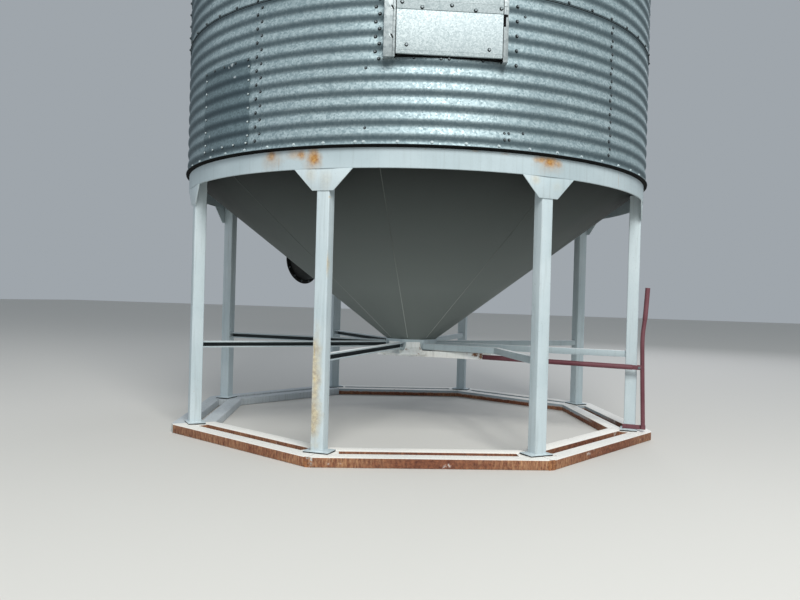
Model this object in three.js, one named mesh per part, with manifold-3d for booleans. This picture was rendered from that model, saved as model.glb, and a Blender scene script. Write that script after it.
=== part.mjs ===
// A round grain silo of corrugated steel with a conical hopper, on eight square legs and an
// octagonal skid. Millimetres, Z up. The axis of the silo is the Z axis, Z = 0 is the underside
// of the skid, and the hand lever of the slide gate stands on the +X side.

import * as THREE from 'three';
import { mergeVertices } from 'three/addons/utils/BufferGeometryUtils.js';
import Module from 'manifold-3d';

const wasm = await Module();
wasm.setup();

const deg = Math.PI / 180;
const gap = 0.3; // left between pieces that touch

// Skid: an octagon of two rails, its corners under the legs
const legCount = 8;
const step = 360 / legCount;
const skidHeight = 76;
const skidOuter = 2165; // distance of a side's outer edge from the axis
const skidInner = 1800;
const skidRail = 135; // width of one rail
const skidTie = 130; // length of the corner tie, along the slot
const skidCorner = 2328; // distance of a corner's blunt face from the axis

// Legs
const legCircle = 2138; // axis to leg centre
const legSize = 101.6;
const footPlate = { inner: 2056, outer: 2208, width: 203, thickness: 12 };
const footTop = skidHeight + gap + footPlate.thickness;
const legTop = 2225;
const gusset = { top: 470, bottom: 170, height: 159, thickness: 8 };

// Band, flange and wall
const wallSegments = 56;
const bandSegments = 112;
const bandBottom = 2165;
const bandTop = 2313;
const bandOuter = 2203.4;
const bandThickness = 12.4;
const flangeOuter = 2234.4;
const flangeInner = 2150;
const flangeNeck = 2195;
const flangeNeckHeight = 14;
const flangeThickness = 6;
const wallOuter = 2222;
const wallThickness = 12.7; // the depth of the corrugations
const ringHeight = 1117.6;
const ringCount = 5;
const wallBottom = bandTop + gap + flangeNeckHeight + flangeThickness + gap;
const wallTop = wallBottom + ringCount * ringHeight;

// Hopper cone
const coneBottom = 828;
const coneTop = 2311;
const coneBottomRadius = 250;
const coneTopRadius = 2189.7;
const coneSheet = 6;
const coneSlope = Math.atan2(coneTop - coneBottom, coneTopRadius - coneBottomRadius);

// Manhole: a nearly level tube out of the cone. Its radius and height are those of the lid's middle
const manhole = {
  azimuth: 161, droop: 12, radius: 1600, height: 1599, bore: 191, tube: 8, flange: 235, lid: 240, sheet: 8,
};

// Octagonal hub with four flared plates
const hubApothem = 250;
const hubWall = 10;
const hubBottom = 723.3;
const hubTop = coneBottom - gap;
const flarePlate = 6;
const flareRows = [
  { z: 803, apothem: 256, half: 67 },
  { z: 752, apothem: 256, half: 76 },
  { z: 722, apothem: 286, half: 92 },
  { z: 704, apothem: 304, half: 110 },
  { z: 686, apothem: 322, half: 133 },
];

// Braces: lipped channels. The one to leg 8 first follows the side of the gate, then turns to its leg
const brace = { bottom: 745, height: 57, flange: 50, lip: 12, steel: 4 };
const bentBrace = { leg: 8, start: [192.5, -191.3, 735], bend: [942, -319, 735], end: [1530, -1503, 747] };

// Slide gate
const gateFrame = { rear: -270, front: 785, half: 240, rail: 40, bottom: 665, top: 723, plate: 6 };
const gateLedge = { top: 696, thickness: 6, reach: 20 };
const gateHole = 165;
const gatePlate = { rear: -185, front: 275, half: 194, bottom: 701, thickness: 6 };
const gateApron = { bottom: 674, half: 172 };
const gateLug = { y: -108.5, thickness: 8, length: 47 };

// Hand lever and pull rod
const barRadius = 19;
const rodRadius = 23;
const leverY = -78;
const leverPath = [[2256, 104], [2246, 385], [2237, 665], [2232, 930], [2250, 1127], [2265, 1383]];
const leverPivot = { x: 2255.5, z: 118, pin: 8, hole: 9.5 };
const bracket = { inner: 2076, outer: 2278, bottom: 94, height: 40, steel: 6, y: -51.1 };
const rodY = -125;
const rodPin = { x: 2211, z: 661, radius: 7, hole: 8.5, head: 13 };
const rodInner = { x: 300, z: 690 };
const rodEnd = { thickness: 11, height: 40, length: 60 };

// Roof
const roofPitch = 30 * deg;
const eaveRadius = 2310;
const roofSheet = 8;
const ribCount = 14;
const rib = { width: 50, height: 34, sunk: 3 };
const collarRadius = 330;
const collarHeight = 60;
const capRadius = 352;

// Hatch in the lowest two rings
const hatch = {
  azimuth: -66.7, left: -462, right: 431, bottom: 2936, top: 3970, face: 2246, rebate: 2226,
  panelLeft: -374.5, panelRight: 391, panelBottom: 2963, split: 3278, panelTop: 3925, panelFace: 2250,
  lap: 20, sill: 3000, head: 3905,
};

function steel(color, roughness, metalness) {
  return new THREE.MeshStandardMaterial({ color, roughness, metalness });
}

const galvanised = steel('#93a3a9', 0.42, 0.85);
const brightZinc = steel('#bcc6c8', 0.38, 0.8);
const greyPaint = steel('#b4c1c8', 0.5, 0.1);
const darkPaint = steel('#4a5050', 0.55, 0.1);
const rustyPaint = steel('#a08f86', 0.7, 0.1);
const redPaint = steel('#6e2d37', 0.6, 0.1);

// A closed mesh as a solid that can be joined and cut
function solid(geometry) {
  const plain = geometry.clone();
  plain.deleteAttribute('normal');
  plain.deleteAttribute('uv');
  const merged = mergeVertices(plain, 1e-3);
  const corners = merged.index.array;
  const triangles = [];
  for (let i = 0; i < corners.length; i += 3) {
    const [a, b, c] = [corners[i], corners[i + 1], corners[i + 2]];
    if (a !== b && b !== c && c !== a) {
      triangles.push(a, b, c);
    }
  }
  return new wasm.Manifold(new wasm.Mesh({
    numProp: 3,
    vertProperties: new Float32Array(merged.attributes.position.array),
    triVerts: new Uint32Array(triangles),
  }));
}

function geometryOf(body) {
  const { vertProperties, triVerts } = body.getMesh();
  const geometry = new THREE.BufferGeometry();
  geometry.setAttribute('position', new THREE.BufferAttribute(vertProperties, 3));
  geometry.setIndex(new THREE.BufferAttribute(triVerts, 1));
  const flat = geometry.toNonIndexed();
  flat.computeVertexNormals();
  return flat;
}

// A box from its lowest to its highest corner
function block(x0, x1, y0, y1, z0, z1) {
  const box = new THREE.BoxGeometry(x1 - x0, y1 - y0, z1 - z0);
  return box.translate((x0 + x1) / 2, (y0 + y1) / 2, (z0 + z1) / 2);
}

// A profile of [radius, height] turned round the Z axis, with one corner of the polygon on the X axis
function turned(profile, segments) {
  const points = profile.map(([radius, height]) => new THREE.Vector2(radius, height));
  const start = points[0];
  if (start.x > 0) {
    points.push(start.clone());
  }
  return new THREE.LatheGeometry(points, segments).rotateX(Math.PI / 2);
}

// An outline of [x, y] corners, raised along Z
function raised(outline, height, holes = []) {
  const shape = new THREE.Shape(outline.map(([x, y]) => new THREE.Vector2(x, y)));
  for (const hole of holes) {
    shape.holes.push(new THREE.Path(hole.map(([x, y]) => new THREE.Vector2(x, y))));
  }
  return new THREE.ExtrudeGeometry(shape, { depth: height, bevelEnabled: false });
}

// Turns a raised outline so that its x and y run along Y and Z, and its height along X
function alongX(geometry) {
  const basis = new THREE.Matrix4().makeBasis(
    new THREE.Vector3(0, 1, 0), new THREE.Vector3(0, 0, 1), new THREE.Vector3(1, 0, 0));
  return geometry.applyMatrix4(basis);
}

// A round bar along Y, from y0 to y1
function pinAlongY(x, z, radius, y0, y1) {
  return new THREE.CylinderGeometry(radius, radius, y1 - y0, 16).translate(x, (y0 + y1) / 2, z);
}

function joined(...geometries) {
  return geometries.map(solid).reduce((all, next) => all.add(next));
}

const silo = new THREE.Group();

function addPiece(name, geometry, material, place = silo) {
  const mesh = new THREE.Mesh(geometry, material.clone());
  mesh.name = name;
  place.add(mesh);
  return mesh;
}

function skidSide() {
  const turn = Math.PI / legCount;
  const end = (apothem) => apothem * Math.tan(turn) - gap / 2 / Math.cos(turn);
  const shoulder = (skidCorner - skidOuter * Math.cos(turn)) / Math.sin(turn);
  const tip = skidCorner * Math.cos(turn);
  const outline = [
    [skidInner, -end(skidInner)], [tip, -end(tip)], [skidOuter, -shoulder],
    [skidOuter, shoulder], [tip, end(tip)], [skidInner, end(skidInner)],
  ];
  const slotInner = skidInner + skidRail;
  const slotOuter = skidOuter - skidRail;
  const slotHalf = end(slotInner) - skidTie;
  const slot = [
    [slotInner, -slotHalf], [slotInner, slotHalf], [slotOuter, slotHalf], [slotOuter, -slotHalf],
  ];
  return raised(outline, skidHeight, [slot]);
}

function legBody() {
  const half = legSize / 2;
  const face = legCircle + half;
  const plate = block(
    footPlate.inner, footPlate.outer, -footPlate.width / 2, footPlate.width / 2, skidHeight + gap, footTop);
  const post = block(legCircle - half, face, -half, half, footTop - 1, legTop);
  const top = bandBottom - gap;
  const trapezoid = [
    [-gusset.bottom / 2, top - gusset.height], [gusset.bottom / 2, top - gusset.height],
    [gusset.top / 2, top], [-gusset.top / 2, top],
  ];
  const web = alongX(raised(trapezoid, gusset.thickness + 1)).translate(face - 1, 0, 0);
  return geometryOf(joined(plate, post, web));
}

// A lipped channel along X, standing on Z = 0, with its web on the -Y side
function channel(length) {
  const { height: top, flange, lip, steel: t } = brace;
  const [left, right] = [-flange / 2, flange / 2];
  const section = [
    [left, 0], [right, 0], [right, lip], [right - t, lip], [right - t, t], [left + t, t],
    [left + t, top - t], [right - t, top - t], [right - t, top - lip], [right, top - lip],
    [right, top], [left, top],
  ];
  return alongX(raised(section, length));
}

function braceBody() {
  const inner = hubApothem / Math.cos(Math.PI / legCount) + 0.6;
  const outer = legCircle - legSize / 2 - gap;
  return channel(outer - inner).translate(inner, 0, brace.bottom);
}

// The channel from one point to the next, longer by an allowance at each end
function channelBetween(start, end, allowance) {
  const along = end.clone().sub(start);
  const length = along.length();
  along.normalize();
  const left = new THREE.Vector3(0, 0, 1).cross(along).normalize();
  const place = new THREE.Matrix4().makeBasis(along, left, along.clone().cross(left)).setPosition(start);
  const run = channel(length + 2 * allowance).translate(-allowance, 0, 0);
  return solid(run.applyMatrix4(place));
}

function bentBraceBody() {
  const points = [bentBrace.start, bentBrace.bend, bentBrace.end];
  const [start, bend, end] = points.map((point) => new THREE.Vector3(...point));
  const startFace = bend.clone().sub(start).normalize();
  const mitre = end.clone().sub(bend).normalize().add(startFace).normalize();
  const lap = 0.5;
  const first = channelBetween(start, bend, brace.flange)
    .trimByPlane(startFace.toArray(), startFace.dot(start))
    .trimByPlane(mitre.clone().negate().toArray(), -mitre.dot(bend) - lap);
  const second = channelBetween(bend, end, brace.flange).trimByPlane(mitre.toArray(), mitre.dot(bend) - lap);
  const half = legSize / 2 + gap;
  const post = block(legCircle - half, legCircle + 2 * half, -half, half, 0, legTop);
  const hubRadius = (hubApothem + gap) / Math.cos(Math.PI / legCount);
  const hub = turned([[0, hubBottom], [hubRadius, hubBottom], [hubRadius, hubTop], [0, hubTop]], legCount);
  return geometryOf(first.add(second).subtract(solid(post.rotateZ((bentBrace.leg - 1) * step * deg)))
    .subtract(solid(hub)));
}

function bandBody() {
  const inner = (bandOuter - bandThickness) / Math.cos(Math.PI / bandSegments);
  return turned([[bandOuter, bandBottom], [bandOuter, bandTop], [inner, bandTop], [inner, bandBottom]],
    bandSegments);
}

function flangeBody() {
  const neckBottom = bandTop + gap;
  const neckTop = neckBottom + flangeNeckHeight;
  const top = neckTop + flangeThickness;
  return turned([
    [flangeNeck, neckBottom], [flangeNeck, neckTop], [flangeOuter, neckTop],
    [flangeOuter, top], [flangeInner, top], [flangeInner, neckBottom],
  ], bandSegments);
}

// Where the manhole stands: its Z axis runs outwards along the tube, from the lid's outer face
function manholePlace() {
  const turn = manhole.azimuth * deg;
  const droop = manhole.droop * deg;
  const out = new THREE.Vector3(Math.cos(turn), Math.sin(turn), 0);
  const up = new THREE.Vector3(0, 0, 1);
  const along = out.clone().multiplyScalar(Math.sin(droop)).addScaledVector(up, Math.cos(droop));
  const normal = out.clone().multiplyScalar(Math.cos(droop)).addScaledVector(up, -Math.sin(droop));
  const across = normal.clone().cross(along);
  const centre = out.clone().multiplyScalar(manhole.radius).setZ(manhole.height);
  return new THREE.Matrix4().makeBasis(along, across, normal).setPosition(centre);
}

const coneRise = coneSheet / Math.cos(coneSlope);
const coneInward = coneSheet / Math.sin(coneSlope);
const tubeReach = 650; // from the lid's face to well inside the cone

function coneBody() {
  const shell = turned([
    [coneBottomRadius, coneBottom], [coneTopRadius, coneTop],
    [coneTopRadius - coneInward, coneTop], [coneBottomRadius, coneBottom + coneRise],
  ], wallSegments);
  const hole = manhole.bore + manhole.tube + gap;
  const cutter = turned([[0, -tubeReach], [hole, -tubeReach], [hole, 0], [0, 0]], 32);
  return geometryOf(solid(shell).subtract(solid(cutter.applyMatrix4(manholePlace()))));
}

// The tube ends flush with the inner face of the cone's sheet
function manholeCollar() {
  const { bore, tube, flange, sheet } = manhole;
  const seat = -sheet - gap;
  const lip = 6;
  const collar = turned([
    [bore + tube, -tubeReach], [bore + tube, seat - lip], [flange, seat - lip],
    [flange, seat], [bore, seat], [bore, -tubeReach],
  ], 32);
  const space = turned([
    [0, coneBottom + coneRise], [coneBottomRadius, coneBottom + coneRise],
    [coneTopRadius - coneInward, coneTop], [0, coneTop],
  ], wallSegments);
  return geometryOf(solid(collar).subtract(solid(space.applyMatrix4(manholePlace().invert()))));
}

function manholeLid() {
  const { lid, sheet } = manhole;
  return turned([[0, -sheet], [lid, -sheet], [lid, 0], [180, 1], [110, 12], [0, 16]], 32);
}

// One flared plate: rows of four corners joined from top to bottom
function flareBody() {
  const corners = [];
  for (const { z, apothem, half } of flareRows) {
    const inner = apothem - flarePlate - 1;
    corners.push([inner, -half, z], [apothem, -half, z], [apothem, half, z], [inner, half, z]);
  }
  const triangles = [0, 1, 2, 0, 2, 3];
  for (let row = 0; row < flareRows.length - 1; row++) {
    for (let side = 0; side < 4; side++) {
      const a = row * 4 + side;
      const b = row * 4 + (side + 1) % 4;
      triangles.push(a, a + 4, b, b, a + 4, b + 4);
    }
  }
  const last = (flareRows.length - 1) * 4;
  triangles.push(last, last + 2, last + 1, last, last + 3, last + 2);
  const geometry = new THREE.BufferGeometry();
  geometry.setAttribute('position', new THREE.BufferAttribute(new Float32Array(corners.flat()), 3));
  geometry.setIndex(triangles);
  return geometry;
}

function hubBody() {
  const corner = 1 / Math.cos(Math.PI / legCount);
  const outer = hubApothem * corner;
  const inner = (hubApothem - hubWall) * corner;
  const ring = [[outer, hubBottom], [outer, hubTop], [inner, hubTop], [inner, hubBottom]];
  let hub = solid(turned(ring, legCount));
  for (const azimuth of [-112.5, -67.5, 67.5, 112.5]) {
    hub = hub.add(solid(flareBody().rotateZ(azimuth * deg)));
  }
  const reach = 400;
  const side = gateFrame.half + gap;
  return geometryOf(hub.subtract(solid(block(-reach, reach, -side, side, 0, hubBottom))));
}

function gateFrameBody() {
  const { rear, front, half, rail, bottom, top, plate } = gateFrame;
  const inner = half - rail;
  const ledgeBottom = gateLedge.top - gateLedge.thickness;
  const section = [
    [inner, bottom], [half, bottom], [half, top], [inner, top], [inner, gateLedge.top],
    [inner - gateLedge.reach, gateLedge.top], [inner - gateLedge.reach, ledgeBottom], [inner, ledgeBottom],
  ];
  const railBody = alongX(raised(section, front - rear)).translate(rear, 0, 0);
  const otherRail = railBody.clone().rotateZ(Math.PI).translate(rear + front, 0, 0);
  const stop = block(rear, rear + rail, -half + 1, half - 1, bottom, top);
  const flange = raised(
    [[rear, -half + 1], [290, -half + 1], [290, half - 1], [rear, half - 1]], plate,
    [[[-gateHole, -gateHole], [-gateHole, gateHole], [gateHole, gateHole], [gateHole, -gateHole]]]);
  return geometryOf(joined(railBody, otherRail, stop, flange.translate(0, 0, top - plate)));
}

function gatePlateBody() {
  const { rear, front, half, bottom, thickness } = gatePlate;
  const top = bottom + thickness;
  const plate = block(rear, front, -half, half, bottom, top);
  const apron = block(front - thickness, front, -gateApron.half, gateApron.half, gateApron.bottom, top);
  const side = gateLug.thickness / 2;
  const lug = block(front - 1, front + gateLug.length, gateLug.y - side, gateLug.y + side,
    gateApron.bottom, top);
  return geometryOf(joined(plate, apron, lug));
}

// The rod lies along X, with the lever's pin through the origin
function rodBody() {
  const length = Math.hypot(rodPin.x - rodInner.x, rodPin.z - rodInner.z);
  const { thickness, height, length: flat } = rodEnd;
  const tip = 15;
  const bar = new THREE.CylinderGeometry(rodRadius, rodRadius, length - 2 * flat, 12)
    .rotateZ(Math.PI / 2).translate(-length / 2, 0, 0);
  const outerEnd = block(-flat - 15, tip + 8, -thickness / 2, thickness / 2, -height / 2, height / 2);
  const innerEnd = block(-length - tip, -length + flat + 15, -thickness / 2, thickness / 2,
    -height / 2, height / 2);
  let rod = joined(bar, outerEnd, innerEnd);
  for (const x of [0, -length]) {
    rod = rod.subtract(solid(pinAlongY(x, 0, rodPin.hole, -thickness, thickness)));
  }
  return geometryOf(rod);
}

function leverBody() {
  const path = new THREE.CatmullRomCurve3(leverPath.map(([x, z]) => new THREE.Vector3(x, leverY, z)));
  const ring = new THREE.Shape();
  ring.absarc(0, 0, barRadius, 0, 2 * Math.PI);
  const bar = new THREE.ExtrudeGeometry(ring, { steps: 16, curveSegments: 6, extrudePath: path });
  const lug = block(rodPin.x - 18, rodPin.x + 20, leverY - 6, leverY + 6, rodPin.z - 20, rodPin.z + 20);
  const headSide = rodY - rodEnd.thickness / 2 - 10;
  const pin = pinAlongY(rodPin.x, rodPin.z, rodPin.radius, headSide - 1, leverY);
  const head = pinAlongY(rodPin.x, rodPin.z, rodPin.head, headSide - 8, headSide);
  const hole = pinAlongY(leverPivot.x, leverPivot.z, leverPivot.hole, leverY - 40, leverY + 40);
  return geometryOf(joined(bar, lug, pin, head).subtract(solid(hole)));
}

function bracketBody() {
  const { inner, outer, bottom, height, steel: t, y } = bracket;
  const strap = block(inner, outer, y - t, y, bottom, bottom + height);
  const pinEnd = leverY - barRadius - 2;
  const pin = pinAlongY(leverPivot.x, leverPivot.z, leverPivot.pin, pinEnd - 1, y - 1);
  const head = pinAlongY(leverPivot.x, leverPivot.z, leverPivot.pin + 6, pinEnd - 6, pinEnd);
  return geometryOf(joined(strap, pin, head));
}

// The opening that the hatch closes, cut square through the wall
function hatchOpening() {
  const { panelLeft, panelRight, lap, sill, head, azimuth } = hatch;
  const opening = block(wallOuter - 200, wallOuter + 200, panelLeft + lap, panelRight - lap, sill, head);
  return solid(opening.rotateZ(azimuth * deg));
}

function wallRing(index) {
  const bottom = wallBottom + index * ringHeight;
  const top = bottom + ringHeight - gap;
  const inner = wallOuter - wallThickness;
  const shell = turned([[wallOuter, bottom], [wallOuter, top], [inner, top], [inner, bottom]], wallSegments);
  return index < 2 ? geometryOf(solid(shell).subtract(hatchOpening())) : shell;
}

function hatchFrameBody() {
  const { left, right, bottom, top, face, rebate, panelLeft, panelRight, panelBottom, panelTop } = hatch;
  const { lap, sill, head, azimuth } = hatch;
  const back = wallOuter * Math.cos(left / wallOuter) - 30;
  const rim = solid(block(back, face, left, right, bottom, top));
  const pocket = solid(block(rebate, face + 50, panelLeft - 1, panelRight + 1, bottom - 50, panelTop + 1));
  const foot = solid(block(back - 50, face + 50, panelLeft - 1, panelRight + 1, bottom - 50, panelBottom));
  const through = solid(block(back - 50, face + 50, panelLeft + lap, panelRight - lap, sill, head));
  const wall = turned([[0, bottom - 50], [wallOuter + 0.5, bottom - 50], [wallOuter + 0.5, top + 50],
    [0, top + 50]], wallSegments);
  const frame = rim.subtract(pocket).subtract(foot).subtract(through);
  return geometryOf(frame.subtract(solid(wall.rotateZ(-azimuth * deg))));
}

function roofBody() {
  const fall = Math.tan(roofPitch);
  const under = (radius) => wallTop + gap + (wallOuter - radius) * fall;
  const sheet = roofSheet / Math.cos(roofPitch);
  const innerCollar = collarRadius - roofSheet;
  const collarTop = under(collarRadius) + sheet + collarHeight;
  const shell = turned([
    [eaveRadius, under(eaveRadius)], [eaveRadius, under(eaveRadius) + sheet],
    [collarRadius, under(collarRadius) + sheet], [collarRadius, collarTop], [innerCollar, collarTop],
    [innerCollar, under(innerCollar)],
  ], wallSegments);
  const inner = collarRadius + 15;
  const outer = eaveRadius - 10;
  const length = (outer - inner) / Math.cos(roofPitch);
  const middle = (inner + outer) / 2;
  let roof = solid(shell);
  for (let i = 0; i < ribCount; i++) {
    const bar = block(-length / 2, length / 2, -rib.width / 2, rib.width / 2, -rib.sunk,
      rib.height - rib.sunk);
    bar.rotateY(roofPitch).translate(middle, 0, under(middle) + sheet).rotateZ((i * 2 * Math.PI) / ribCount);
    roof = roof.add(solid(bar));
  }
  return { geometry: geometryOf(roof), collarTop };
}

function capBody(seat) {
  const skirt = 35;
  const inner = capRadius - 8;
  return turned([[0, seat], [inner, seat], [inner, seat - skirt], [capRadius, seat - skirt],
    [capRadius, seat + 10], [190, seat + 62], [0, seat + 78]], 28);
}

for (let i = 0; i < legCount; i++) {
  addPiece(`leg_${i + 1}`, legBody(), greyPaint).rotation.z = i * step * deg;
  if (i + 1 === bentBrace.leg) {
    addPiece(`brace_${i + 1}`, bentBraceBody(), greyPaint);
  } else {
    addPiece(`brace_${i + 1}`, braceBody(), greyPaint).rotation.z = i * step * deg;
  }
  addPiece(`skid_side_${i + 1}`, skidSide(), rustyPaint).rotation.z = (i + 0.5) * step * deg;
}
addPiece('hopper_band', bandBody(), greyPaint);
addPiece('bottom_flange', flangeBody(), greyPaint);
addPiece('hopper_cone', coneBody(), darkPaint);

const manholeGroup = new THREE.Group();
manholePlace().decompose(manholeGroup.position, manholeGroup.quaternion, manholeGroup.scale);
silo.add(manholeGroup);
addPiece('manhole_collar', manholeCollar(), darkPaint, manholeGroup);
addPiece('manhole_lid', manholeLid(), darkPaint, manholeGroup);

addPiece('outlet_hub', hubBody(), greyPaint);
addPiece('gate_frame', gateFrameBody(), greyPaint);
addPiece('gate_plate', gatePlateBody(), greyPaint);
const rod = addPiece('pull_rod', rodBody(), redPaint);
rod.position.set(rodPin.x, rodY, rodPin.z);
rod.rotation.y = Math.atan2(rodInner.z - rodPin.z, rodPin.x - rodInner.x);
addPiece('hand_lever', leverBody(), redPaint);
addPiece('lever_bracket', bracketBody(), redPaint);

for (let i = 0; i < ringCount; i++) {
  addPiece(`wall_ring_${i + 1}`, wallRing(i), galvanised);
}

const hatchGroup = new THREE.Group();
hatchGroup.rotation.z = hatch.azimuth * deg;
silo.add(hatchGroup);
addPiece('hatch_frame', hatchFrameBody(), brightZinc, hatchGroup);
const { rebate, panelFace, panelLeft, panelRight, panelBottom, split, panelTop } = hatch;
const hatchLeaf = (bottom, top) => block(rebate + gap, panelFace, panelLeft, panelRight, bottom, top);
addPiece('hatch_panel', hatchLeaf(panelBottom, split - gap), brightZinc, hatchGroup);
addPiece('hatch_door', hatchLeaf(split, panelTop), brightZinc, hatchGroup);

const { geometry: roofGeometry, collarTop } = roofBody();
addPiece('roof', roofGeometry, galvanised);
addPiece('roof_cap', capBody(collarTop + gap), galvanised);

export default silo;
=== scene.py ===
import math
from functools import partial

import bmesh
import bpy
from mathutils import Matrix, Vector


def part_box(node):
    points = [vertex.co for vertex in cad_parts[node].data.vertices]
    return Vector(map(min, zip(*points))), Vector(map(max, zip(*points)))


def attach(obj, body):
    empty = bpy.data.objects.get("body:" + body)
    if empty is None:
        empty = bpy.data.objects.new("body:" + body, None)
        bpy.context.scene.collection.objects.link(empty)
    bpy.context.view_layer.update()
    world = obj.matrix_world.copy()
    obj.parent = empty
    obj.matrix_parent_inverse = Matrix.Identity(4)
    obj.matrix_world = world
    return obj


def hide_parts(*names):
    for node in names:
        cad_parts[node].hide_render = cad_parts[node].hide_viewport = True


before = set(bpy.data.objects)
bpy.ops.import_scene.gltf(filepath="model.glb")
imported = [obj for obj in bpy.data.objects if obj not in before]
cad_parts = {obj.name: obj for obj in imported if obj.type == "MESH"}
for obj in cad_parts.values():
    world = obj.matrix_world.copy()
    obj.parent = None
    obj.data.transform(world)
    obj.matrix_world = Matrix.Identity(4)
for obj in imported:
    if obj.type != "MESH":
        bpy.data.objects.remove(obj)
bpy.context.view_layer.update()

mm = 0.001
print("frame loaded:", len(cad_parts), "nodes")


# the photo's view: where the camera stands, which way it looks and how wide
view = {
    "place": (2.306, -7.105, 1.235),
    "heading": 108.93,  # degrees from +X, level direction of view
    "tilt": -0.185,
    "roll": 1.549,
    "lens": 33.09,
    "sensor": 36.0,
}


def makeCamera():
    data = bpy.data.cameras.new("photoCamera")
    data.lens = view["lens"]
    data.sensor_width = view["sensor"]
    data.clip_end = 200
    camera = bpy.data.objects.new("photoCamera", data)
    heading, tilt, roll = (math.radians(view[k]) for k in ("heading", "tilt", "roll"))
    ahead = Vector((math.cos(heading) * math.cos(tilt), math.sin(heading) * math.cos(tilt), math.sin(tilt)))
    right = Vector((math.sin(heading), -math.cos(heading), 0))
    up = right.cross(ahead)
    turned = right * math.cos(roll) + up * math.sin(roll)
    raised = up * math.cos(roll) - right * math.sin(roll)
    camera.matrix_world = Matrix((
        (turned.x, raised.x, -ahead.x, view["place"][0]),
        (turned.y, raised.y, -ahead.y, view["place"][1]),
        (turned.z, raised.z, -ahead.z, view["place"][2]),
        (0, 0, 0, 1),
    ))
    bpy.context.collection.objects.link(camera)
    bpy.context.scene.camera = camera


makeCamera()
print("camera set")


def linear(code):
    parts = [int(code[i:i + 2], 16) / 255 for i in (1, 3, 5)]
    return (*(c / 12.92 if c <= 0.04045 else ((c + 0.055) / 1.055) ** 2.4 for c in parts), 1.0)


# an input is given a socket to link, an sRGB colour as text, or a value
def setInputs(node, sockets):
    for key, value in sockets.items():
        if isinstance(value, bpy.types.NodeSocket):
            node.id_data.links.new(value, node.inputs[key])
        else:
            node.inputs[key].default_value = linear(value) if isinstance(value, str) else value


def addNode(tree, kind, sockets, out=0, **settings):
    node = tree.nodes.new("ShaderNode" + kind)
    for name, value in settings.items():
        setattr(node, name, value)
    setInputs(node, sockets)
    return node.outputs[out]


def startMaterial(name):
    material = bpy.data.materials.new(name)
    material.use_nodes = True
    tree = material.node_tree
    add = partial(addNode, tree)
    return material, tree.nodes["Principled BSDF"], add("TexCoord", {}, "Object"), add


# lays one colour over another for each (share, colour) in turn
def layered(add, colour, layers):
    for share, over in layers:
        colour = add("Mix", {"Factor": share, 6: colour, 7: over}, 2, data_type="RGBA")
    return colour


# a place on the bin's round surface, from degrees round the axis and height
def aroundAxis(radius, azimuth, height):
    return (radius * math.cos(math.radians(azimuth)), radius * math.sin(math.radians(azimuth)), height)


# a share that noise gives: none at the first of the limits, the whole amount at the second
def noiseShare(add, coords, scale, detail, roughness, limits, amount=1.0):
    if isinstance(scale, tuple):
        coords, scale = add("Mapping", {"Vector": coords, "Scale": scale}), 1.0
    noise = add("TexNoise", {"Vector": coords, "Scale": scale, "Detail": detail, "Roughness": roughness})
    return add("MapRange", {"Value": noise, 1: limits[0], 2: limits[1], 4: amount})


# where rust or bare metal shows: a soft ragged spot for each (centre, reach, strength), in metres
def spotMask(add, coords, spots, raggedness=9.0, wobble=1.3):
    noise = {"Vector": coords, "Scale": raggedness, "Detail": 6.0, "Roughness": 0.62}
    shift = add("VectorMath", {0: add("TexNoise", noise, "Color"), 1: (0.5, 0.5, 0.5)}, operation="SUBTRACT")
    shift = add("VectorMath", {0: shift, 3: wobble}, operation="SCALE")
    total = 0.0
    for centre, reach, strength in spots:
        away = add("VectorMath", {0: coords, 1: centre}, operation="SUBTRACT")
        share = add("VectorMath", {0: away, 1: reach}, operation="DIVIDE")
        moved = add("VectorMath", {0: share, 1: shift}, operation="ADD")
        far = add("VectorMath", {0: moved}, "Value", operation="LENGTH")
        fade = add("MapRange", {"Value": far, 1: 1.0, 2: 0.25, 4: strength})
        total = add("Math", {0: total, 1: fade}, operation="MAXIMUM")
    return total


enamelLooks = {"grime": "#87908f", "runs": 0.3, "specks": 0.5, "rustFrom": 1.36, "rustDark": "#6b4a30",
               "rustLight": "#b58a58", "rough": 0.6, "shine": 0.5}


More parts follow.
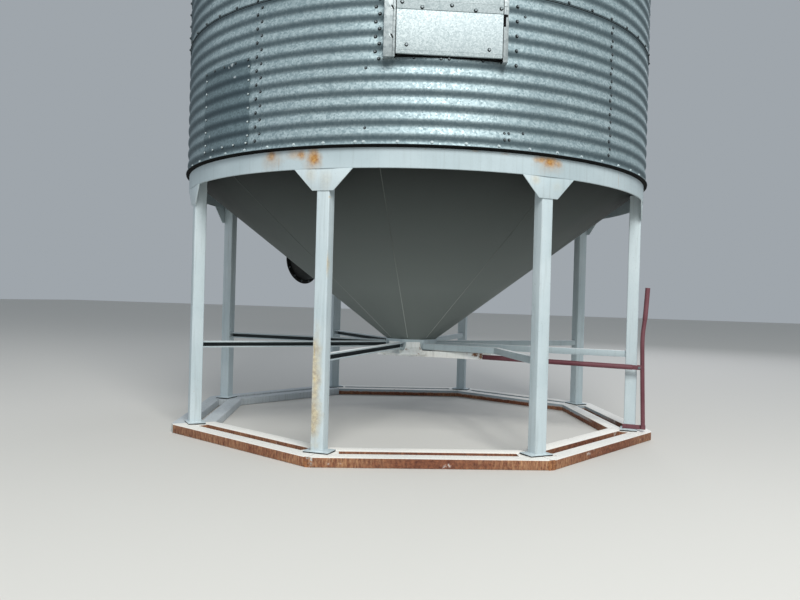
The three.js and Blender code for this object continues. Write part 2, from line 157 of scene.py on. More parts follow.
# enamel on steel, sprayed and weathered outdoors: chalky, faint runs, rust where the film is broken
def weatheredEnamel(name, spots=(), **own):
    looks = {**enamelLooks, **own}
    material, shader, coords, add = startMaterial(name)
    wide = add("TexNoise", {"Vector": coords, "Scale": 1.7, "Detail": 4.0, "Roughness": 0.55})
    layers = [
        (add("MapRange", {"Value": wide, 1: 0.35, 2: 0.65}), looks["chalk"]),
        # rain runs: noise stretched to about 25 mm wide and 0.6 m long
        (noiseShare(add, coords, (40.0, 40.0, 1.6), 4.0, 0.6, (0.52, 0.74), looks["runs"]), looks["grime"]),
        # grime specks about 6 mm across
        (noiseShare(add, coords, 75.0, 3.0, 0.7, (0.6, 0.72), looks["specks"]), looks["grime"]),
    ]
    # rust scabs 20 to 60 mm wide, thick where the second, larger noise allows them
    scabs = add("TexNoise", {"Vector": coords, "Scale": 17.0, "Detail": 9.0, "Roughness": 0.68})
    patches = add("TexNoise", {"Vector": coords, "Scale": 2.3, "Detail": 2.0})
    both = add("Math", {0: scabs, 1: patches}, operation="ADD")
    rust = add("MapRange", {"Value": both, 1: looks["rustFrom"], 2: looks["rustFrom"] + 0.09})
    if spots:
        rust = add("Math", {0: rust, 1: spotMask(add, coords, spots)}, operation="MAXIMUM")
    if "sideRust" in looks:
        upward = add("SeparateXYZ", {0: add("TexCoord", {}, "Normal")}, "Z")
        side = add("MapRange", {"Value": add("Math", {0: upward}, operation="ABSOLUTE"), 1: 0.75, 2: 0.45})
        # the paint holds on in places 50 to 150 mm long
        holds = add("MapRange", {"Value": both, 1: looks["sideRust"], 2: looks["sideRust"] + 0.16})
        # the far rails' sides keep paint on their upper part, with a ragged edge; it is a darker grey than
        # the tops, as painted shade
        place = add("SeparateXYZ", {0: coords}).node.outputs
        ragged = add("Math", {0: scabs, 1: 0.03, 2: place["Z"]}, operation="MULTIPLY_ADD")
        foot = add("MapRange", {"Value": ragged, 1: 0.055, 2: 0.068, 3: 1.0, 4: 0.0})
        near = add("MapRange", {"Value": place["Y"], 1: 0.9, 2: 0.4})
        bare = add("Math", {0: foot, 1: near}, operation="MAXIMUM")
        kept = add("Math", {0: 1.0, 1: bare}, operation="SUBTRACT")
        layers.append((add("Math", {0: kept, 1: side}, operation="MULTIPLY"), looks["farPaint"]))
        for share in (bare, holds):
            side = add("Math", {0: side, 1: share}, operation="MULTIPLY")
        rust = add("Math", {0: rust, 1: side}, operation="MAXIMUM")
    grain = add("TexNoise", {"Vector": coords, "Scale": 45.0, "Detail": 6.0, "Roughness": 0.7})
    rusts = [(add("MapRange", {"Value": grain, 1: 0.35, 2: 0.65}), looks["rustLight"])]
    if "peeling" in looks:
        # upright streaks of thin old paint over the rust, 10 to 20 mm wide, near the skid's corners
        corners = [(aroundAxis(2.33, k * 45, 0.04), (0.75, 0.75, 1.5), 0.85) for k in range(8)]
        corners.append((aroundAxis(2.2, 240, 0.04), (1.3, 1.3, 1.5), 0.75))
        share = noiseShare(add, coords, (85.0, 85.0, 16.0), 7.0, 0.7, (0.42, 0.72))
        share = add("Math", {0: share, 1: spotMask(add, coords, corners)}, operation="MULTIPLY")
        rusts.append((share, looks["peeling"]))
    layers.append((rust, layered(add, looks["rustDark"], rusts)))
    # painted light: faces turned upwards are mixed towards the given pale colour
    if "topPale" in looks:
        upward = add("SeparateXYZ", {0: add("TexCoord", {}, "Normal")}, "Z")
        layers.append((add("MapRange", {"Value": upward, 1: 0.35, 2: 0.8, 4: 0.9}), looks["topPale"]))
    # painted light: the lower the point, the more of the given light colour is mixed in, as if lit from the
    # ground
    if "dust" in looks:
        height = add("SeparateXYZ", {0: coords}, "Z")
        share = add("MapRange", {"Value": height, 1: looks["dustFrom"], 2: looks["dustTo"], 4: 0.85})
        layers.append((share, looks["dust"]))
    least, most = looks["rough"] - 0.06, looks["rough"] + 0.08
    rough = add("MapRange", {"Value": wide, 1: 0.3, 2: 0.7, 3: least, 4: most})
    film = add("TexNoise", {"Vector": coords, "Scale": 130.0, "Detail": 2.0})
    relief = add("Bump", {"Strength": 0.12, "Distance": 0.4 * mm, "Height": film})
    crust = add("Math", {0: grain, 1: rust}, operation="MULTIPLY")
    setInputs(shader, {
        "Base Color": layered(add, looks["paint"], layers),
        "Roughness": add("Mix", {"Factor": rust, 2: rough, 3: 0.88}),
        "Specular IOR Level": looks["shine"],
        "Normal": add("Bump", {"Strength": 0.6, "Distance": 1.2 * mm, "Height": crust, "Normal": relief}),
    })
    return material


zincLooks = {"spangle": 14 * mm, "patchy": 0.5, "runs": 0.3, "under": 0.6, "metallic": 0.5, "rough": 0.45}


# hot-dip zinc on rolled sheet: matte flakes of spangle 5 to 18 mm across, dull where rain never washes it
def galvanisedSheet(name, spots=(), **own):
    looks = {**zincLooks, **own}
    material, shader, coords, add = startMaterial(name)
    spangle = add("TexVoronoi", {"Vector": coords, "Scale": 1 / looks["spangle"]}, "Color")
    tone = add("SeparateColor", {"Color": spangle}).node.outputs
    layers = [
        (tone[0], looks["bright"]),
        (noiseShare(add, coords, 0.9, 5.0, 0.6, (0.35, 0.68), looks["patchy"]), looks["oxide"]),
        (noiseShare(add, coords, (30.0, 30.0, 1.1), 4.0, 0.6, (0.5, 0.75), looks["runs"]), looks["oxide"]),
    ]
    # painted shade: the sheet darkens towards the −X side of the bin
    if "dirty" in looks:
        sideways = add("SeparateXYZ", {0: coords}, "X")
        layers.append((add("MapRange", {"Value": sideways, 1: -1.1, 2: -1.95, 4: 0.85}), looks["dirty"]))
    # painted reflection: faces turned downwards, as on the corrugations' undersides, are darker, as if they
    # reflected dark ground
    upward = add("SeparateXYZ", {0: add("TexCoord", {}, "Normal")}, "Z")
    layers.append((add("MapRange", {"Value": upward, 1: 0.12, 2: -0.3, 4: looks["under"]}), looks["shade"]))
    if spots:
        layers.append((spotMask(add, coords, spots, raggedness=30.0, wobble=1.8), "#dfe8ea"))
    fine = add("TexNoise", {"Vector": coords, "Scale": 160.0, "Detail": 3.0})
    height = add("Math", {0: tone[2], 1: fine}, operation="ADD")
    setInputs(shader, {
        "Base Color": layered(add, looks["dull"], layers),
        "Metallic": looks["metallic"],
        "Roughness": add("MapRange", {"Value": tone[1], 3: looks["rough"] - 0.09, 4: looks["rough"] + 0.1}),
        "Normal": add("Bump", {"Strength": 0.25, "Distance": 0.3 * mm, "Height": height}),
    })
    return material


# near black and dull, with a fine pebbled skin: moulded rubber for the washers, and painted shade in gaps and
# under edges
def rubberSeal(name, dark, dusty):
    material, shader, coords, add = startMaterial(name)
    mottle = add("TexNoise", {"Vector": coords, "Scale": 60.0, "Detail": 4.0, "Roughness": 0.6})
    pebbles = add("TexNoise", {"Vector": coords, "Scale": 400.0, "Detail": 2.0})
    setInputs(shader, {
        "Base Color": layered(add, dark, [(mottle, dusty)]),
        "Roughness": add("MapRange", {"Value": mottle, 1: 0.3, 2: 0.7, 3: 0.8, 4: 0.95}),
        "Specular IOR Level": 0.15,
        "Normal": add("Bump", {"Strength": 0.3, "Distance": 0.5 * mm, "Height": pebbles}),
    })
    return material


# stains on the legs, rust at the welds and bolt holes of the band, pale scuffs on the wall
legStains = [((x, -2.185, z), (across, 0.05, tall), share) for x, z, across, tall, share in (
    (-0.025, 0.66, 0.065, 0.4, 0.7), (-0.025, 0.36, 0.07, 0.3, 0.75), (-0.03, 0.62, 0.018, 0.04, 1.0),
    (-0.035, 0.8, 0.016, 0.14, 0.8), (0.048, 1.47, 0.006, 0.12, 0.6), (0.05, 1.96, 0.01, 0.012, 0.5))]
legStains += [(aroundAxis(2.2, azimuth, z), (0.06, 0.06, tall), share) for azimuth, z, tall, share in (
    (-92.5, 2.12, 0.07, 0.22), (-89.5, 2.08, 0.09, 0.16), (-48.2, 2.14, 0.05, 0.3), (-43.0, 2.1, 0.06, 0.12))]
bandRust = [(aroundAxis(2.2034, azimuth, z), (wide, wide, tall), part) for azimuth, z, wide, tall, part in (
    (-101.8, 2.272, 0.065, 0.06, 0.8), (-101.2, 2.25, 0.13, 0.1, 0.3), (-99.9, 2.22, 0.006, 0.09, 0.5),
    (-94.9, 2.268, 0.065, 0.055, 0.85), (-96.2, 2.275, 0.11, 0.05, 0.45), (-92.0, 2.25, 0.085, 0.1, 1.0),
    (-92.2, 2.2, 0.09, 0.1, 0.35), (-47.0, 2.285, 0.09, 0.036, 0.85), (-44.8, 2.27, 0.1, 0.055, 1.0),
    (-42.9, 2.272, 0.05, 0.04, 0.7), (-45.0, 2.25, 0.16, 0.08, 0.3), (-23.5, 2.24, 0.005, 0.08, 0.4),
    (-61.0, 2.305, 0.03, 0.01, 0.4), (-55.0, 2.3, 0.05, 0.012, 0.3))]
wallChips = [(aroundAxis(2.222, azimuth, z), (wide, wide, tall), 0.7) for azimuth, z, wide, tall in (
    (-113.7, 3.042, 0.022, 0.016), (-112.6, 2.936, 0.02, 0.012), (-114.9, 3.03, 0.01, 0.014),
    (-122.3, 2.523, 0.012, 0.018), (-103.0, 2.34, 0.014, 0.014))]

greyEnamel = weatheredEnamel(
    "greyEnamel", legStains, paint="#b5c4c9", chalk="#c5d1d5", runs=0.35, specks=0.35, rustDark="#9a7c4c",
    rustLight="#dccb9f", rough=0.5)
# painted shade: a dark copy of the brace paint for the faces inside the channels
braceInside = weatheredEnamel(
    "braceInside", paint="#353d40", chalk="#424a4c", grime="#25292a", runs=0.2, rustLight="#8f6f4b",
    rough=0.7)
# painted light and shade: the braces' paint is darker than the legs' for the shade under the bin, and faces
# turned upwards are paled as painted light
braceEnamel = weatheredEnamel(
    "braceEnamel", paint="#a4b3b8", chalk="#b4c1c5", specks=0.4, rough=0.5, topPale="#f4f7f7")
bandEnamel = weatheredEnamel(
    "bandEnamel", bandRust, paint="#a8b7bc", chalk="#b5c3c8", specks=0.3, rustDark="#8a5a2a",
    rustLight="#bf9558", rough=0.48)
# a dull coat, its near-black paint standing in for the cone's shade under the bin, lighter towards the bottom
# as painted light from the ground
hopperEnamel = weatheredEnamel(
    "hopperEnamel", paint="#1f2322", chalk="#242827", grime="#1a1d1c", runs=0.35, specks=0.2, rustFrom=1.5,
    rustDark="#4a2c20", rustLight="#7d4f33", dust="#7b8381", dustFrom=2.24, dustTo=1.32, shine=0.12)
# painted shade: near-black paint for the manhole, which is turned away from the light and sits in shade
manholeEnamel = weatheredEnamel(
    "manholeEnamel", paint="#0d1110", chalk="#151a19", grime="#0a0c0b", specks=0.2, rustFrom=1.5,
    rustDark="#33201a", rustLight="#5f4030", rough=0.66)
# beads of weld metal, painted lighter than the cone's sheet, and lighter again lower down as painted light
# from the ground
seamEnamel = weatheredEnamel(
    "seamEnamel", paint="#3f4543", chalk="#4a504d", grime="#2f3331", specks=0.4, rustFrom=1.4,
    rustDark="#4a2c20", rustLight="#7d4f33", dust="#a9b0ac", dustFrom=1.75, dustTo=1.1)
# pale paint on top, rusted through on the sides; the sides' darker kept paint is painted shade
skidEnamel = weatheredEnamel(
    "skidEnamel", paint="#efeeea", chalk="#f8f5ee", grime="#a99f90", runs=0.2, specks=0.6, rustFrom=1.22,
    rustDark="#552c20", rustLight="#8f5b40", sideRust=0.6, farPaint="#a0abb1", peeling="#d0a47a")
paintedSkid = weatheredEnamel(
    "paintedSkid", paint="#b6bec3", chalk="#c8ced1", grime="#6f6f6b", runs=0.35, rustFrom=1.3,
    rustDark="#552c20", rustLight="#8f5b40")
cornerEnamel = weatheredEnamel(
    "cornerEnamel", paint="#bcc3c1", chalk="#cfd1ca", grime="#8d877a", runs=0.5, specks=0.7, rustFrom=0.95,
    rustDark="#6b3a24", rustLight="#b07c52")
gateEnamel = weatheredEnamel(
    "gateEnamel", paint="#f0f4f3", chalk="#f6f3ea", grime="#9f9c92", rustFrom=1.06, rustDark="#5a3423",
    rustLight="#a9764c", rough=0.55)
redEnamel = weatheredEnamel(
    "redEnamel", paint="#5a2530", chalk="#7c4f56", grime="#432528", runs=0.4, rustFrom=1.3,
    rustDark="#3f2119", rustLight="#7a452c")
# its painted shade darkens the wall towards −X
wallZinc = galvanisedSheet(
    "wallZinc", wallChips, dull="#82959b", bright="#b4c5c9", oxide="#74878d", shade="#43545b", under=0.85,
    rough=0.58, dirty="#43565f")
patchZinc = galvanisedSheet(
    "patchZinc", wallChips, dull="#5e7176", bright="#84989e", oxide="#53656b", shade="#384951", runs=0.5,
    under=0.9, rough=0.5)
roofZinc = galvanisedSheet(
    "roofZinc", dull="#8b999e", bright="#b4bfc3", oxide="#7b898e", shade="#5b676b", runs=0.2, under=0.5,
    metallic=0.65)
hatchZinc = galvanisedSheet(
    "hatchZinc", dull="#a9b8bb", bright="#dbe6e8", oxide="#a9b5bb", shade="#7c8688", spangle=9 * mm,
    patchy=0.4, metallic=0.15, rough=0.66)
stripZinc = galvanisedSheet(
    "stripZinc", dull="#9faaad", bright="#d2dbdd", oxide="#8d9394", shade="#6b7577", spangle=18 * mm,
    patchy=0.55, runs=0.4, metallic=0.35)
boltZinc = galvanisedSheet(
    "boltZinc", dull="#5b6468", bright="#949da0", oxide="#596063", shade="#2a3033", spangle=5 * mm,
    patchy=0.4, runs=0.0, metallic=0.7)
# near black: painted shade under the flange's lip, under the foot plates, along the wall's laps and round the
# hatch's leaves, and the hatch's hooks and latch
blackSeal = rubberSeal("blackSeal", dark="#020202", dusty="#080908")
# dark rubber washers, whose dark ring is also painted shade round the bolt heads
washerRubber = rubberSeal("washerRubber", dark="#121517", dusty="#23282a")
print("materials made:", len(bpy.data.materials))


def movedBy(x, y=0.0, z=0.0):
    return Matrix.Translation((x, y, z))


def turnedTo(azimuth):
    return Matrix.Rotation(math.radians(azimuth), 4, "Z")


def tipped(angle):
    return Matrix.Rotation(angle, 4, "Y")


def block(bm, low, high, place=None):
    low, high = Vector(low), Vector(high)
    matrix = movedBy(*(low + high) / 2) @ Matrix.Diagonal((*(high - low), 1))
    return bmesh.ops.create_cube(bm, size=1, matrix=(place @ matrix) if place else matrix)["verts"]


def roundEdges(bm, edges, width, steps):
    bmesh.ops.bevel(bm, geom=edges, offset=width, offset_type="OFFSET", segments=steps, profile=0.5,
                    affect="EDGES", material=-1, clamp_overlap=True)


def soften(bm, width, steps=2, sharperThan=30, verts=None):
    chosen = set(verts or bm.verts)
    edges = [e for e in bm.edges if e.is_manifold and e.calc_face_angle(0) > math.radians(sharperThan)
             and chosen.issuperset(e.verts)]
    roundEdges(bm, edges, width, steps)


def softBlock(bm, low, high, width, place=None, steps=2, sharperThan=30):
    soften(bm, width, steps, sharperThan, block(bm, low, high, place))


def finishPiece(bm, name, finishes, nodes=(), body="structure", sharperThan=35, place=None):
    if place:
        bmesh.ops.transform(bm, matrix=place, verts=bm.verts)
    bmesh.ops.recalc_face_normals(bm, faces=bm.faces)
    for face in bm.faces:
        face.smooth = True
    for edge in bm.edges:
        if not edge.is_manifold or edge.calc_face_angle(0) > math.radians(sharperThan):
            edge.smooth = False
    mesh = bpy.data.meshes.new(name)
    bm.to_mesh(mesh)
    bm.free()
    for finish in finishes if isinstance(finishes, tuple) else (finishes,):
        mesh.materials.append(finish)
    piece = bpy.data.objects.new(name, mesh)
    bpy.context.collection.objects.link(piece)
    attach(piece, body)
    if nodes:
        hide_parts(*nodes)


# a closed outline of (radius, height) corners turned once round the Z axis
def turnOutline(bm, outline, steps):
    verts = [bm.verts.new((r, 0, z)) for r, z in outline]
    edges = [bm.edges.new((verts[i - 1], verts[i])) for i in range(len(verts))]
    bmesh.ops.spin(bm, geom=verts + edges, cent=(0, 0, 0), axis=(0, 0, 1), angle=2 * math.pi, steps=steps,
                   use_merge=True)


# an outline of (x, y, z) corners filled and drawn out along a direction
def drawOut(bm, outline, along):
    face = bm.faces.new([bm.verts.new(p) for p in outline])
    made = bmesh.ops.extrude_face_region(bm, geom=[face])["geom"]
    moved = [v for v in made if isinstance(v, bmesh.types.BMVert)]
    bmesh.ops.translate(bm, vec=along, verts=moved)
    return list(face.verts) + moved


def giveFinish(verts, index):
    for face in {face for vert in verts for face in vert.link_faces}:
        face.material_index = index


# hex screw on a rubber washer, its axis along the matrix's X. The washer has the second finish; where that is
# dark rubber, its dark ring also stands in for the shade round the head
def addBolt(bm, place, size=1.0, head=0):
    for radius, top, tall, sides, finish in ((11.5, 10, 3, 10, 1), (8, 6.4, 9, 6, head)):
        matrix = place @ movedBy(tall / 2 * mm * size) @ tipped(math.pi / 2)
        made = bmesh.ops.create_cone(bm, cap_ends=True, segments=sides, radius1=radius * mm * size,
                                     radius2=top * mm * size, depth=tall * mm * size, matrix=matrix)
        giveFinish(made["verts"], finish)


# a smooth curve through the corners
def pathPoints(corners, perSpan=6):
    points = []
    last = len(corners) - 1
    for k in range(last):
        p0, p1, p2, p3 = (Vector(corners[max(0, min(last, k + n))]) for n in (-1, 0, 1, 2))
        for n in range(perSpan):
            t = n / perSpan
            points.append(0.5 * (2 * p1 + (p2 - p0) * t + (2 * p0 - 5 * p1 + 4 * p2 - p3) * t * t
                                 + (3 * p1 - p0 - 3 * p2 + p3) * t ** 3))
    return points + [Vector(corners[last])]


def facing(ahead):
    return ahead.to_track_quat("Z", "Y").to_matrix().to_4x4()


# a round bar along a line of points
def addBar(bm, points, radius, sides=20):
    rings = []
    for k, point in enumerate(points):
        ahead = points[min(k + 1, len(points) - 1)] - points[max(k - 1, 0)]
        made = bmesh.ops.create_circle(bm, cap_ends=k in (0, len(points) - 1), segments=sides, radius=radius,
                                       matrix=movedBy(*point) @ facing(ahead))["verts"]
        edges = [e for e in {e for v in made for e in v.link_edges} if all(v in made for v in e.verts)]
        if rings:
            bmesh.ops.bridge_loops(bm, edges=rings[-1] + edges)
        rings.append(edges)


def addPin(bm, start, end, radius, sides=16):
    start, end = Vector(start), Vector(end)
    place = movedBy(*(start + end) / 2) @ facing(end - start)
    return bmesh.ops.create_cone(bm, cap_ends=True, segments=sides, radius1=radius, radius2=radius,
                                 depth=(end - start).length, matrix=place)["verts"]


def cutAway(bm, point, normal):
    cut = bmesh.ops.bisect_plane(bm, geom=bm.verts[:] + bm.edges[:] + bm.faces[:], plane_co=point,
                                 plane_no=normal, clear_outer=True)["geom_cut"]
    bmesh.ops.holes_fill(bm, edges=[e for e in cut if isinstance(e, bmesh.types.BMEdge)])


legs = {
    "count": 8, "circle": 2.138, "size": 101.6 * mm, "corner": 9 * mm,
    "gussetTop": 0.47, "gussetBottom": 0.17, "gussetHeight": 0.159, "gussetSheet": 8 * mm, "gap": 0.3 * mm,
    "plateWidth": 0.203, "plateInner": 2.056, "plateOuter": 2.208, "plateTop": 12 * mm,
    "weld": 7 * mm, "packing": 8 * mm, "inset": 3 * mm,
}


def makeLegs():
    half, circle, inset, weld = legs["size"] / 2, legs["circle"], legs["inset"], legs["weld"]
    face = circle + half
    low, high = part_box("leg_1")
    plateTop, plateFoot = low.z + legs["plateTop"], low.z + legs["packing"]
    inner, outer, wide = legs["plateInner"], legs["plateOuter"], legs["plateWidth"] / 2
    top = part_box("hopper_band")[0].z - legs["gap"]
    foot = top - legs["gussetHeight"]
    footHalf, topHalf = legs["gussetBottom"] / 2, legs["gussetTop"] / 2
    for i in range(legs["count"]):
        bm = bmesh.new()
        block(bm, (circle - half, -half, plateTop - mm), (face, half, high.z))
        upright = [e for e in bm.edges if abs(e.verts[0].co.z - e.verts[1].co.z) > 1]
        roundEdges(bm, upright, legs["corner"], 4)
        # painted shade: a black block under the foot plate stands in for the shadow of the gap beneath its
        # edges
        block(bm, (inner + inset, -wide + inset, low.z), (outer - inset, wide - inset, plateFoot + mm))
        for part in bm.faces:
            part.material_index = 1 if part.calc_center_median().z < plateTop - 2 * mm else 0
        softBlock(bm, (inner, -wide, plateFoot), (outer, wide, plateTop), 1 * mm)
        corners = ((-footHalf, foot), (footHalf, foot), (topHalf, top), (-topHalf, top))
        gusset = drawOut(bm, [(face - mm, y, z) for y, z in corners], (legs["gussetSheet"] + mm, 0, 0))
        soften(bm, 1.2 * mm, verts=gusset)
        # fillet welds round the post's foot, as a low four-sided ring
        seat = movedBy(circle, 0, plateTop + weld / 2 - mm / 2) @ turnedTo(45)
        ring = bmesh.ops.create_cone(bm, cap_ends=True, segments=4, radius1=(half + weld) * math.sqrt(2),
                                     radius2=(half + mm) * math.sqrt(2), depth=weld, matrix=seat)["verts"]
        soften(bm, 2 * mm, verts=ring)
        finishPiece(bm, f"legPost{i + 1}", (greyEnamel, blackSeal), [f"leg_{i + 1}"],
                    place=turnedTo(i * 360 / legs["count"]))


makeLegs()
print("legs made")


skid = {
    "outer": 2.165, "inner": 1.8, "rail": 0.135, "tie": 0.13, "blunt": 2.328, "height": 76 * mm,
    "corner": 8 * mm, "tieLap": 4 * mm, "mitreGap": 1.5 * mm, "paintedSides": (3, 4),
}


def makeSkid():
    eighth = math.pi / 8
    inner, outer, rail, height, blunt = (skid[k] for k in ("inner", "outer", "rail", "height", "blunt"))
    slotLow, slotHigh, lap = inner + rail, outer - rail, skid["tieLap"]
    slotEnd = slotLow * math.tan(eighth) - skid["tie"]
    for i in range(8):
        bm = bmesh.new()
        block(bm, (inner, -1, 0), (slotLow, 1, height))
        block(bm, (slotHigh, -1, 0), (outer, 1, height))
        longWise = [e for e in bm.edges if abs(e.verts[0].co.y - e.verts[1].co.y) > 1]
        roundEdges(bm, longWise, skid["corner"], 3)
        for side in (-1, 1):
            near, far = sorted((side * slotEnd, side))
            softBlock(bm, (slotLow - lap, near, 4 * mm), (slotHigh + lap, far, height - 3 * mm), 1.5 * mm)
        for side in (-1, 1):
            towardsLeg = Vector((math.cos(eighth), side * math.sin(eighth), 0))
            acrossMitre = Vector((-math.sin(eighth), side * math.cos(eighth), 0))
            cutAway(bm, -acrossMitre * skid["mitreGap"], acrossMitre)
            cutAway(bm, towardsLeg * blunt, towardsLeg)
            for face in bm.faces:
                if abs(face.calc_center_median().dot(towardsLeg) - blunt) < mm:
                    face.material_index = 1
        finish = paintedSkid if i in skid["paintedSides"] else skidEnamel
        finishPiece(bm, f"skidRails{i + 1}", (finish, cornerEnamel),
                    [f"skid_side_{i + 1}"], place=turnedTo((i + 0.5) * 45))


makeSkid()
print("skid made")


# the brace to leg 8 follows the gate's side first. Its path is the foot of the web at start, bend and end
brace = {
    "flange": 50 * mm, "lip": 12 * mm, "steel": 3 * mm,
    "start": (0.1925, -0.1913, 0.735), "bend": (0.942, -0.319, 0.735), "end": (1.53, -1.503, 0.747),
}


def addChannel(bm, length, place):
    low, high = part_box("brace_1")
    t, half, lip, top = brace["steel"], brace["flange"] / 2, brace["lip"], high.z - low.z
    section = [
        (-half, 0), (half, 0), (half, lip), (half - t, lip), (half - t, t), (-half + t, t),
        (-half + t, top - t), (half - t, top - t), (half - t, top - lip), (half, top - lip), (half, top),
        (-half, top),
    ]
    verts = drawOut(bm, [(0, y, z) for y, z in section], (length, 0, 0))
    longWise = [e for e in bm.edges if all(v in verts for v in e.verts)
                and abs(e.verts[0].co.x - e.verts[1].co.x) > length / 2]
    roundEdges(bm, longWise, 1.3 * mm, 2)
    # faces inside the channel take the second finish, which is painted shade
    for face in bm.faces:
        middle = face.calc_center_median()
        if abs(middle.y) < half - t / 2 and t / 2 < middle.z < top - t / 2 and abs(face.normal.x) < 0.5:
            face.material_index = 1
    bmesh.ops.transform(bm, matrix=place, verts=bm.verts)


def alongPath(start, end):
    ahead = (end - start).normalized()
    left = Vector((0, 0, 1)).cross(ahead).normalized()
    axes = Matrix((ahead, left, ahead.cross(left))).transposed()
    return movedBy(*start) @ axes.to_4x4()


def makeBraces():
    low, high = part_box("brace_1")
    for i in range(7):
        bm = bmesh.new()
        addChannel(bm, high.x - low.x, turnedTo(i * 45) @ movedBy(low.x, 0, low.z))
        finishPiece(bm, f"braceChannel{i + 1}", (braceEnamel, braceInside), [f"brace_{i + 1}"])
    start, bend, end = (Vector(brace[k]) for k in ("start", "bend", "end"))
    mitre = ((bend - start).normalized() + (end - bend).normalized()).normalized()
    bm = bmesh.new()
    addChannel(bm, (bend - start).length + brace["flange"], alongPath(start, bend))
    cutAway(bm, bend, mitre)
    other = bmesh.new()
    addChannel(other, (end - bend).length + brace["flange"], alongPath(bend, end) @ movedBy(-brace["flange"]))
    cutAway(other, bend, -mitre)
    second = bpy.data.meshes.new("secondRun")
    other.to_mesh(second)
    other.free()
    bm.from_mesh(second)
    bpy.data.meshes.remove(second)
    finishPiece(bm, "braceChannel8", (braceEnamel, braceInside), ["brace_8"])


makeBraces()
print("braces made")


hopper = {
    "bandOuter": 2.2034, "bandInner": 2.191, "rounding": 2.5 * mm, "bandSeams": (-99.9, -23.5, 80, 170),
    "flangeOuter": 2.2344, "flangeInner": 2.19, "lip": 4 * mm, "steps": 224,
    "coneTop": 2.1897, "coneBottom": 0.25, "sheet": 6 * mm, "gores": 9, "firstGore": -39.5, "bead": 7 * mm,
}


def makeBandAndFlange():
    low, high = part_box("hopper_band")
    bm = bmesh.new()
    r, outer, inner, steps = (hopper[k] for k in ("rounding", "bandOuter", "bandInner", "steps"))
    turnOutline(bm, [(outer - r, low.z), (outer, low.z + r), (outer, high.z - r), (outer - r, high.z),
                     (inner, high.z), (inner, low.z)], steps)
    # butt welds of the rolled band, ground down to a low bead
    beadLow, beadHigh = (outer - 2 * mm, -2.5 * mm, low.z + mm), (outer + 0.9 * mm, 2.5 * mm, high.z - mm)
    for azimuth in hopper["bandSeams"]:
        block(bm, beadLow, beadHigh, turnedTo(azimuth))
    finishPiece(bm, "bandRing", bandEnamel, ["hopper_band"])
    low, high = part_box("bottom_flange")
    bm = bmesh.new()
    outer, inner, lip = hopper["flangeOuter"], hopper["flangeInner"], high.z - hopper["lip"]
    turnOutline(bm, [(inner, lip), (outer - mm, lip), (outer, lip + mm), (outer, high.z - mm),
                     (outer - mm, high.z), (inner, high.z)], steps)
    finishPiece(bm, "flangeLip", wallZinc, ["bottom_flange"])
    # painted shade: a black ring under the flange's lip, bulging past the band, stands in for the shade
    # beneath the lip
    bm = bmesh.new()
    turnOutline(bm, [(inner, low.z), (2.206, low.z), (2.224, low.z + 2 * mm), (2.2325, low.z + 7 * mm),
                     (2.2325, lip), (inner, lip)], steps)
    finishPiece(bm, "flangeSeal", blackSeal)


# the angle between the cone's side and the ground
def coneSlope():
    low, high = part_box("hopper_cone")
    return math.atan2(high.z - low.z, hopper["coneTop"] - hopper["coneBottom"])


def makeCone():
    low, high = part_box("hopper_cone")
    top, bottom, sheet, slope = hopper["coneTop"], hopper["coneBottom"], hopper["sheet"], coneSlope()
    steps = 24
    outside = [(bottom + (top - bottom) * k / steps, low.z + (high.z - low.z) * k / steps)
               for k in range(steps + 1)]
    inside = [(top - sheet / math.sin(slope), high.z), (bottom, low.z + sheet / math.cos(slope))]
    bm = bmesh.new()
    turnOutline(bm, outside + inside, 168)
    shell = set(bm.faces)
    # weld beads between the gores that the cone is rolled from
    length, half = (top - bottom) / math.cos(slope), hopper["bead"] / 2
    for k in range(hopper["gores"]):
        turn = turnedTo(hopper["firstGore"] + k * 360 / hopper["gores"])
        softBlock(bm, (30 * mm, -half, -1.6 * mm), (length - 60 * mm, half, 1 * mm), 0.8 * mm,
                  turn @ movedBy(bottom, 0, low.z) @ tipped(-slope))
    for face in bm.faces:
        if face not in shell:
            face.material_index = 1
    finishPiece(bm, "coneShell", (hopperEnamel, seamEnamel), ["hopper_cone"])


manhole = {
    "azimuth": 161, "droop": 12, "radius": 1.6, "height": 1.599, "tube": 0.199, "bore": 0.191, "reach": 0.55,
    "flange": 0.235, "flangeSheet": 6 * mm, "lid": 0.24, "sheet": 8 * mm, "gap": 0.3 * mm,
    "boltCircle": 0.217, "bolts": 12, "firstBolt": 255,
}


